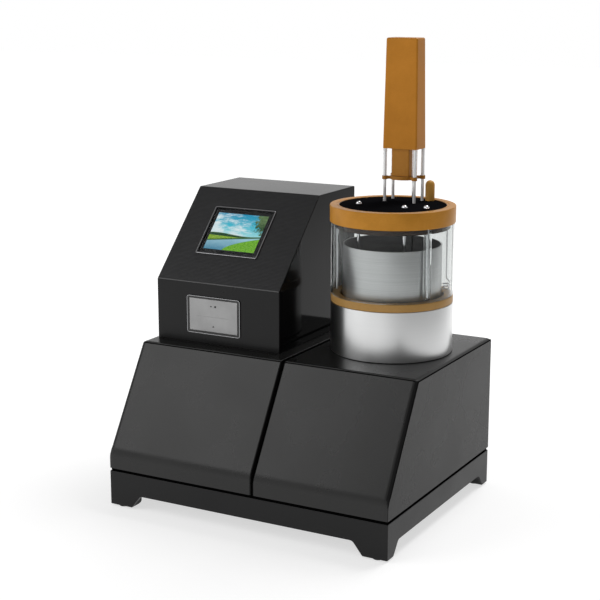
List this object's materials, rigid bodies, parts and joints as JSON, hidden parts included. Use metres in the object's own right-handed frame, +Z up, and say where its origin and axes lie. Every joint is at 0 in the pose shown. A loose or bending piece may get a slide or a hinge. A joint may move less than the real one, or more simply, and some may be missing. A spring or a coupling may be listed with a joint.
{
  "type": "laboratory thermostat bath analyser",
  "caption": "Bench-top laboratory bath analyser: sloped black housings, colour touch screen, panel printer, glass bath with a lift-off lid and stirrer tower.",
  "frame": {"origin": "centre of the object's box, on the surface it stands on", "axes": "+Z up, -Y the front with the screen, +X the side with the bath"},
  "size_m": [0.506, 0.4012, 0.759],
  "materials": {
    "black_enamel": "satin, fine grain",
    "black_plastic": "moulded, fine matt grain",
    "gloss_black": "polished",
    "rubber": "matt",
    "phenolic": "orange-brown phenolic, machined and waxed",
    "stainless": "satin, turned round the axis",
    "aluminium": "turned, fine lines",
    "glass": "clear",
    "chrome": "polished",
    "grey_plastic": "light grey, fine matt grain",
    "screen": "lit colour picture of an open landscape",
    "circuit_green": "solder mask",
    "paper": "white thermal paper, wound"
  },
  "bodies": {
    "base": {"plinth": "black_enamel", "foot_pad_front_left": "rubber", "foot_pad_front_right": "rubber", "foot_pad_rear_left": "rubber", "foot_pad_rear_right": "rubber", "left_housing": "black_enamel", "right_housing": "black_enamel", "rear_panel_left": "black_enamel", "rear_panel_right": "black_enamel", "power_inlet": "black_plastic", "switch_frame": "black_plastic", "fan_frame": "black_plastic", "fan_guard": "chrome", "power_supply": "aluminium", "control_board": "circuit_green", "display_housing": "black_enamel", "display_rear_cover": "black_enamel", "screen_bezel": "stainless", "touch_glass": "glass", "lcd_panel": "screen", "display_board": "circuit_green", "printer_frame": "black_plastic", "printer_chassis": "black_plastic", "print_head": "aluminium", "drum_seal": "rubber", "drum": "stainless", "mid_ring": "phenolic", "glass_cylinder": "glass"},
    "rocker": {"power_switch": "black_plastic"},
    "fan": {"fan_rotor": "black_plastic"},
    "door": {"printer_door": "grey_plastic"},
    "button": {"feed_button": "black_plastic"},
    "platen": {"platen_roller": "rubber"},
    "roll": {"paper_roll": "paper"},
    "lid": {"top_ring": "phenolic", "lid_plate": "gloss_black", "lid_plug": "gloss_black", "lid_stud_1": "chrome", "lid_stud_2": "chrome", "lid_stud_3": "chrome", "inner_can": "aluminium", "sensor_well": "glass", "temperature_probe": "stainless", "heater_coil": "stainless", "level_rod": "stainless", "post_flange": "phenolic", "post_1": "chrome", "post_2": "chrome", "post_3": "chrome", "post_4": "chrome", "sleeve_1": "glass", "sleeve_2": "glass", "sleeve_3": "glass", "sleeve_4": "glass", "motor_neck": "phenolic", "motor_housing": "phenolic", "stirrer_motor": "aluminium"},
    "stirrer": {"stirrer_shaft": "chrome", "impeller": "chrome"},
    "peg": {"filler_plug": "phenolic"}
  },
  "joints": [
    {"name": "switch_tip", "type": "hinge", "parent": "base", "child": "rocker", "pos_m": [0.104, 0.1929, 0.108], "axis": [0, 0, 1], "range_deg": [-14, 0]},
    {"name": "fan_spin", "type": "hinge", "parent": "base", "child": "fan", "pos_m": [0.18, 0.18, 0.17], "axis": [0, 1, 0], "continuous": true},
    {"name": "printer_door_tilt", "type": "hinge", "parent": "base", "child": "door", "pos_m": [-0.1306, -0.0689, 0.2814], "axis": [1, 0, 0], "range_deg": [0, 85]},
    {"name": "feed_press", "type": "slide", "parent": "door", "child": "button", "axis": [0, 1, 0], "range_m": [0, 0.001], "stiffness_N_per_m": 300},
    {"name": "paper_roll_turn", "type": "hinge", "parent": "base", "child": "roll", "pos_m": [-0.1306, -0.024, 0.306], "axis": [1, 0, 0], "continuous": true},
    {"name": "platen_turn", "type": "hinge", "parent": "door", "child": "platen", "pos_m": [-0.1306, -0.057, 0.299], "axis": [1, 0, 0], "continuous": true},
    {"name": "lid_lift", "type": "slide", "parent": "base", "child": "lid", "axis": [0, 0, 1], "range_m": [0, 0.13]},
    {"name": "stirrer_spin", "type": "hinge", "parent": "lid", "child": "stirrer", "pos_m": [0.1427, 0.1134, 0.45], "axis": [0, 0, 1], "continuous": true},
    {"name": "filler_plug_pull", "type": "slide", "parent": "lid", "child": "peg", "axis": [0, 0, 1], "range_m": [0, 0.03]}
  ],
  "couplings": [
    {"joint": "platen_turn", "follows": "paper_roll_turn", "ratio": -4}
  ]
}
